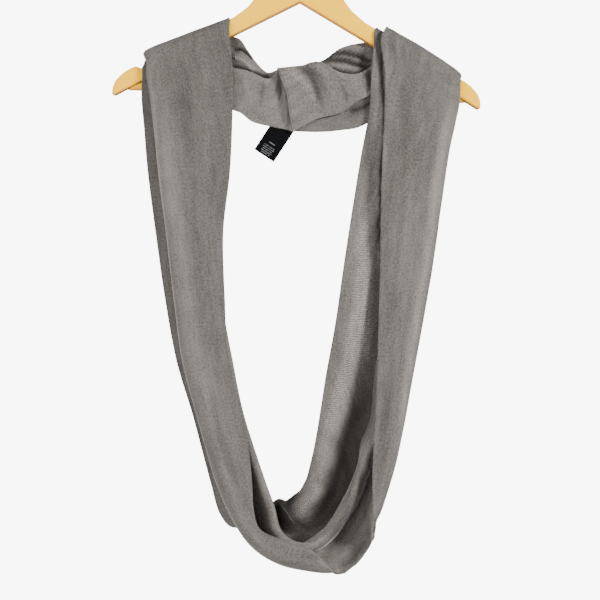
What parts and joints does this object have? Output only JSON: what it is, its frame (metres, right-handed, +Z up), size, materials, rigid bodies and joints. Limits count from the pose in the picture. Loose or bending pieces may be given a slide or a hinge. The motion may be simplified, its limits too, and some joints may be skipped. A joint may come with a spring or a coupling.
{
  "type": "infinity scarf on wooden hanger",
  "caption": "Fine-knit infinity scarf, a loop folded lengthwise and hung over the arms of a wooden clothes hanger with a trouser bar and a wire hook, with a satin care label.",
  "frame": {"origin": "inside top of the hook's crook, where the rail or peg carries it", "axes": "+Z up, +X to the viewer's right, -Y towards the viewer, the front of the scarf"},
  "size_m": [0.4447, 0.1188, 0.7929],
  "materials": {
    "taupe_jersey": "fine single jersey, soft and matt",
    "black_satin": "satin ribbon",
    "varnished_wood": "clear varnish",
    "plated_steel": "bright plated wire"
  },
  "bodies": {
    "root": {"neck_left": "taupe_jersey", "left_shoulder": "taupe_jersey", "left_drop": "taupe_jersey", "bend_left": "taupe_jersey", "bend_right": "taupe_jersey", "right_drop": "taupe_jersey", "right_shoulder": "taupe_jersey", "neck_right": "taupe_jersey", "care_label": "black_satin", "hanger_body": "varnished_wood", "hanger_bar": "varnished_wood", "hanger_hook": "plated_steel"}
  },
  "joints": []
}
